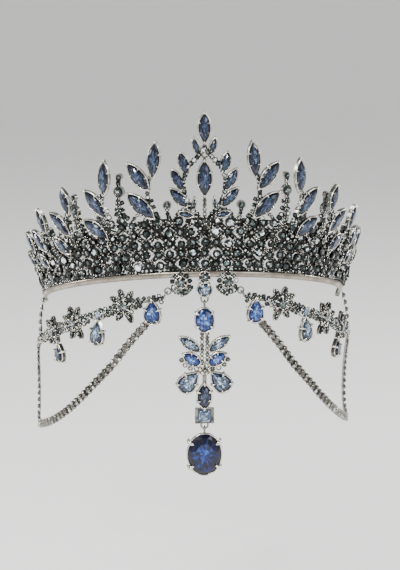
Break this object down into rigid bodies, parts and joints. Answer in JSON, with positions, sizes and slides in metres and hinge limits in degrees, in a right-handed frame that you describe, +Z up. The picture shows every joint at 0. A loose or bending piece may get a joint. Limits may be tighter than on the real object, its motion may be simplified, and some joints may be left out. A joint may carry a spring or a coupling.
{
  "type": "bridal crown",
  "caption": "Spired half-circle tiara with a pierced gallery, a jewelled garland, a swinging forehead pendant with a drop, and two side chains.",
  "frame": {"origin": "centre of the head seat, the circle that the band's inner edge lies on", "axes": "+Z up as worn, the crown's front faces -Y, +X is the wearer's left"},
  "size_m": [0.1704, 0.0825, 0.1771],
  "materials": {
    "dark_silver": "antiqued silver plate, dark in its hollows",
    "cup_chain": "bright silver cups with clear stones",
    "blue_stone": "cut glass, foil backed, light sapphire",
    "pale_stone": "cut glass, foil backed, pale blue",
    "smoke_stone": "cut glass, foil backed, dark grey",
    "deep_blue_stone": "cut glass, foil backed, deep blue"
  },
  "bodies": {
    "crown": {"tiara_frame": "dark_silver", "gallery_stones_left": "smoke_stone", "gallery_stones_right": "smoke_stone", "palmette_tip_stone": "blue_stone", "palmette_heart_stone": "blue_stone", "palmette_small_stones": "blue_stone", "palmette_upper_stone_left": "blue_stone", "palmette_upper_stone_right": "blue_stone", "palmette_middle_stone_left": "blue_stone", "palmette_middle_stone_right": "blue_stone", "palmette_lower_stone_left": "blue_stone", "palmette_lower_stone_right": "blue_stone", "spire_1_stone_left": "blue_stone", "spire_1_stone_right": "blue_stone", "spire_2_stone_left": "blue_stone", "spire_2_stone_right": "blue_stone", "spire_3_stone_left": "blue_stone", "spire_3_stone_right": "blue_stone", "spire_4_stone_left": "blue_stone", "spire_4_stone_right": "blue_stone", "spire_5_stone_left": "blue_stone", "spire_5_stone_right": "blue_stone", "side_leaf_stones_left": "blue_stone", "side_leaf_stones_right": "blue_stone", "cluster_top_stone": "smoke_stone", "cluster_oval_stone": "pale_stone", "cluster_stone_left": "smoke_stone", "cluster_stone_right": "smoke_stone", "garland_frame_left": "dark_silver", "garland_frame_right": "dark_silver", "garland_pear_1_left": "pale_stone", "garland_pear_1_right": "pale_stone", "garland_flower_1_left": "smoke_stone", "garland_flower_1_right": "smoke_stone", "garland_round_left": "pale_stone", "garland_round_right": "pale_stone", "garland_pear_2_left": "pale_stone", "garland_pear_2_right": "pale_stone", "garland_flower_2_left": "smoke_stone", "garland_flower_2_right": "smoke_stone", "garland_oval_left": "smoke_stone", "garland_oval_right": "smoke_stone", "garland_pear_3_left": "blue_stone", "garland_pear_3_right": "blue_stone", "end_strand_left": "cup_chain", "end_strand_right": "cup_chain", "side_chain_left": "cup_chain", "side_chain_right": "cup_chain"},
    "pendant": {"pendant_frame": "dark_silver", "pendant_oval_stone": "blue_stone", "pendant_tail_stone": "blue_stone", "wing_stones_left": "blue_stone", "wing_stones_right": "blue_stone", "baguette_stone": "pale_stone"},
    "drop": {"drop_setting": "dark_silver", "drop_stone": "deep_blue_stone"}
  },
  "joints": [
    {"name": "pendant_swing", "type": "hinge", "parent": "crown", "child": "pendant", "pos_m": [0, -0.0723, 0.0122], "axis": [1, 0, 0], "range_deg": [-60, 60]},
    {"name": "drop_swing", "type": "hinge", "parent": "pendant", "child": "drop", "pos_m": [0, -0.0723, -0.05], "axis": [1, 0, 0], "range_deg": [-60, 60]}
  ]
}
